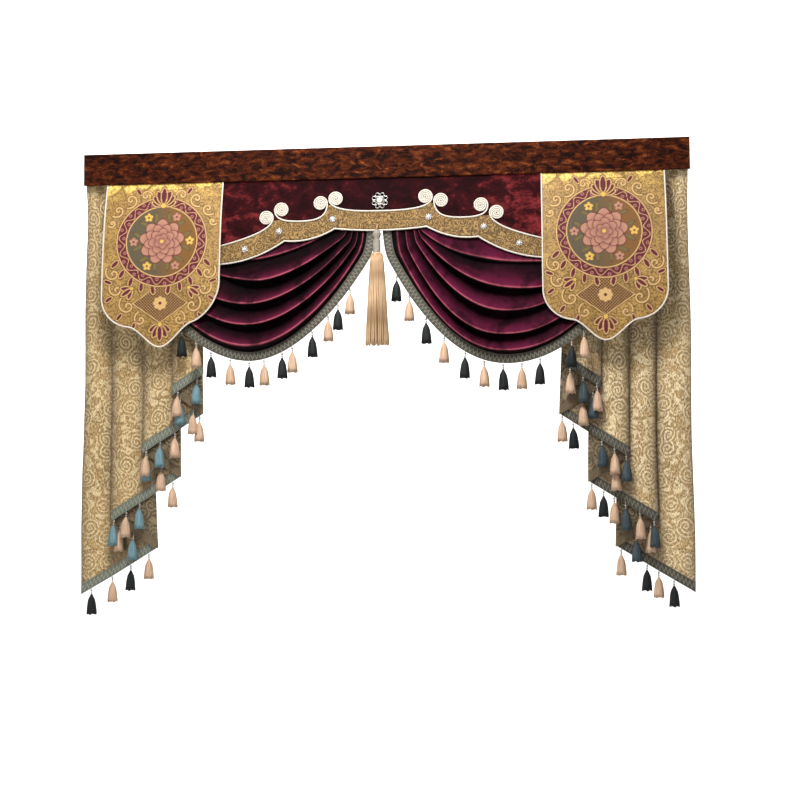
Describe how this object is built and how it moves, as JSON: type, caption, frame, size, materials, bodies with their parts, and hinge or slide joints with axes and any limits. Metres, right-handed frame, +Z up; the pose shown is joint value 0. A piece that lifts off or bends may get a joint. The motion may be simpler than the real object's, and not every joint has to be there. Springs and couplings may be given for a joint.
{
  "type": "swagged window valance",
  "caption": "Window valance of velvet swags under a piped, arched border, with shaped tabs, pleated side tails and tasselled braid.",
  "frame": {"origin": "middle of the heading band's top edge, on its back face, which lies against the wall board", "axes": "+X along the heading to the viewer's right, -Y out into the room, +Z up"},
  "size_m": [2.0172, 0.1669, 1.5352],
  "materials": {
    "brown_velvet": "brown crushed velvet",
    "burgundy_velvet": "burgundy crushed velvet",
    "gold_damask": "gold damask with a scroll pattern",
    "embroidered_satin": "gold satin with an embroidered medallion",
    "ivory_cord": "ivory twisted cord",
    "braid": "grey green woven braid with slate, teal and beige tassels",
    "bullion": "beige bullion strands",
    "pearl": "pearl and crystal",
    "silver": "silver with small crystals"
  },
  "bodies": {
    "root": {"heading_band": "brown_velvet", "velvet_panel": "burgundy_velvet", "swag_left": "burgundy_velvet", "swag_right": "burgundy_velvet", "arched_border": "gold_damask", "tail_left": "gold_damask", "tail_right": "gold_damask", "tab_left": "embroidered_satin", "tab_right": "embroidered_satin", "piping_middle": "ivory_cord", "piping_side_left": "ivory_cord", "piping_side_right": "ivory_cord", "piping_outer_left": "ivory_cord", "piping_outer_right": "ivory_cord", "piping_lower": "ivory_cord", "tab_piping_left": "ivory_cord", "tab_piping_right": "ivory_cord", "swag_fringe_left": "braid", "swag_fringe_right": "braid", "tail_fringe_left": "braid", "tail_fringe_right": "braid", "centre_tassel": "bullion", "centre_hanger": "bullion", "bead_left_1": "pearl", "bead_left_2": "pearl", "bead_left_3": "pearl", "bead_right_1": "pearl", "bead_right_2": "pearl", "bead_right_3": "pearl", "brooch": "silver"}
  },
  "joints": []
}
